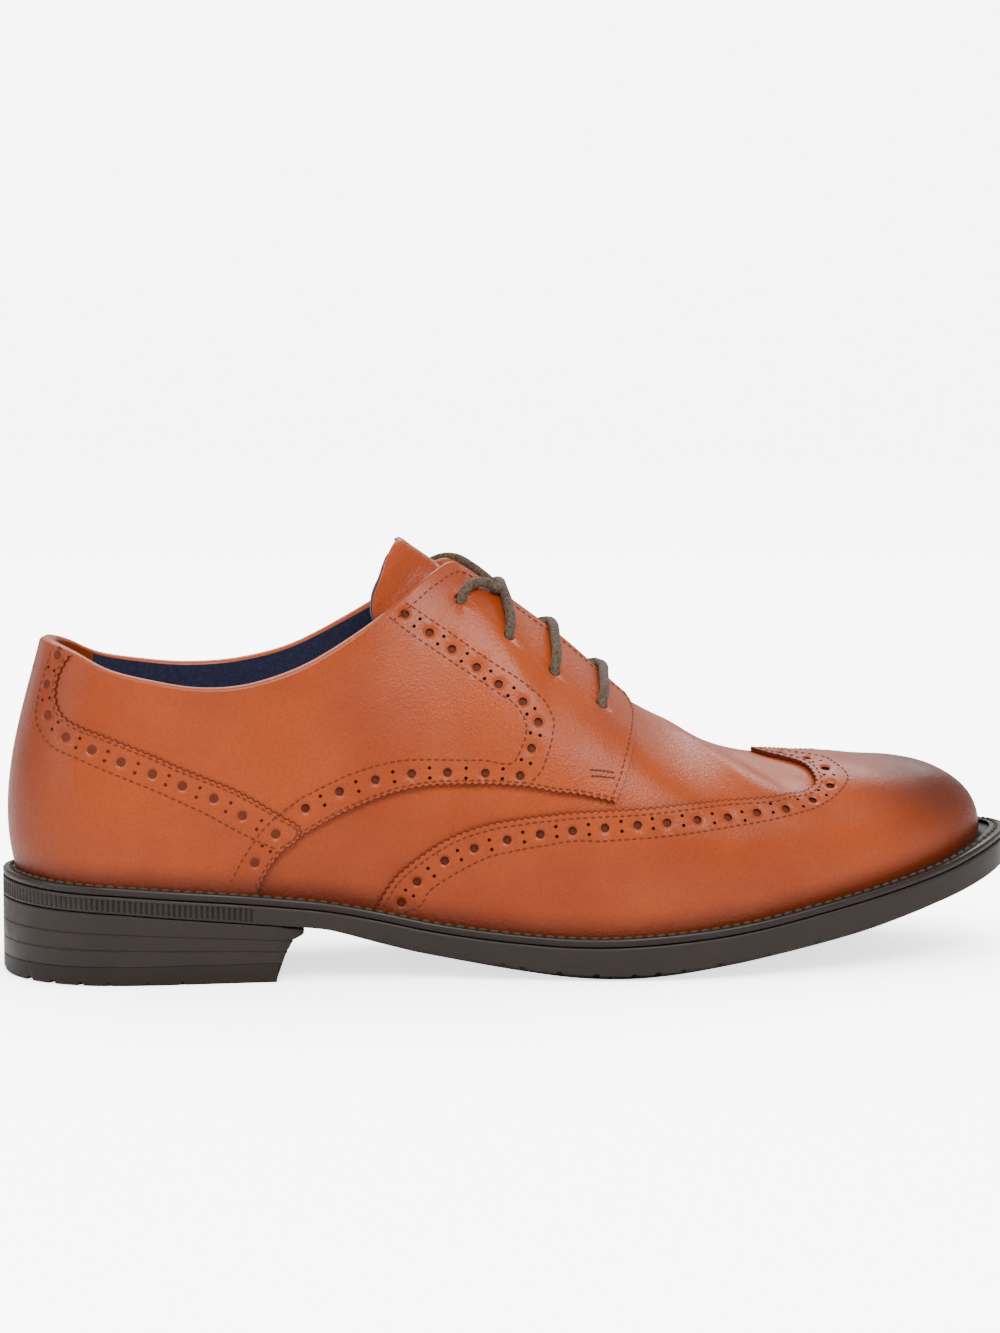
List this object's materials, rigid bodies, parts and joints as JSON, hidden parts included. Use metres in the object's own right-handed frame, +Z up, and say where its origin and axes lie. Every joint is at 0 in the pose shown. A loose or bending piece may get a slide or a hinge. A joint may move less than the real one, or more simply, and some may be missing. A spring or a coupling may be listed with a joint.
{
  "type": "brogue shoe",
  "caption": "Low derby-laced leather shoe with a perforated wing cap, heel counter and facings on a welted sole with a stacked heel, standing empty",
  "frame": {"origin": "centre of the heel's contact face on the floor, 34 mm ahead of the rear end of the sole", "axes": "+X towards the toe, +Z up, the outer (lateral) side of the right foot at -Y"},
  "size_m": [0.304, 0.0981, 0.1268],
  "materials": {
    "outsole": "matt moulded rubber with a ribbed heel band",
    "heel_block": "satin stacked heel with fine lines",
    "top_lift": "matt rubber",
    "welt": "dark stained welt with stitches",
    "insole": "smooth tan leather",
    "upper": "polished tan leather, burnished",
    "wing_cap": "polished tan leather burnished dark at the toe",
    "quarter": "polished tan leather",
    "counter": "polished tan leather",
    "tongue": "smooth tan leather",
    "lace": "waxed round cord"
  },
  "bodies": {
    "root": {"outsole": "outsole", "heel_block": "heel_block", "top_lift": "top_lift", "welt_midsole": "welt", "insole": "insole", "upper": "upper", "wing_cap": "wing_cap", "quarter_outer": "quarter", "quarter_inner": "quarter", "counter": "counter", "tongue": "tongue", "lace_low": "lace", "lace_mid": "lace", "lace_top": "lace"}
  },
  "joints": []
}
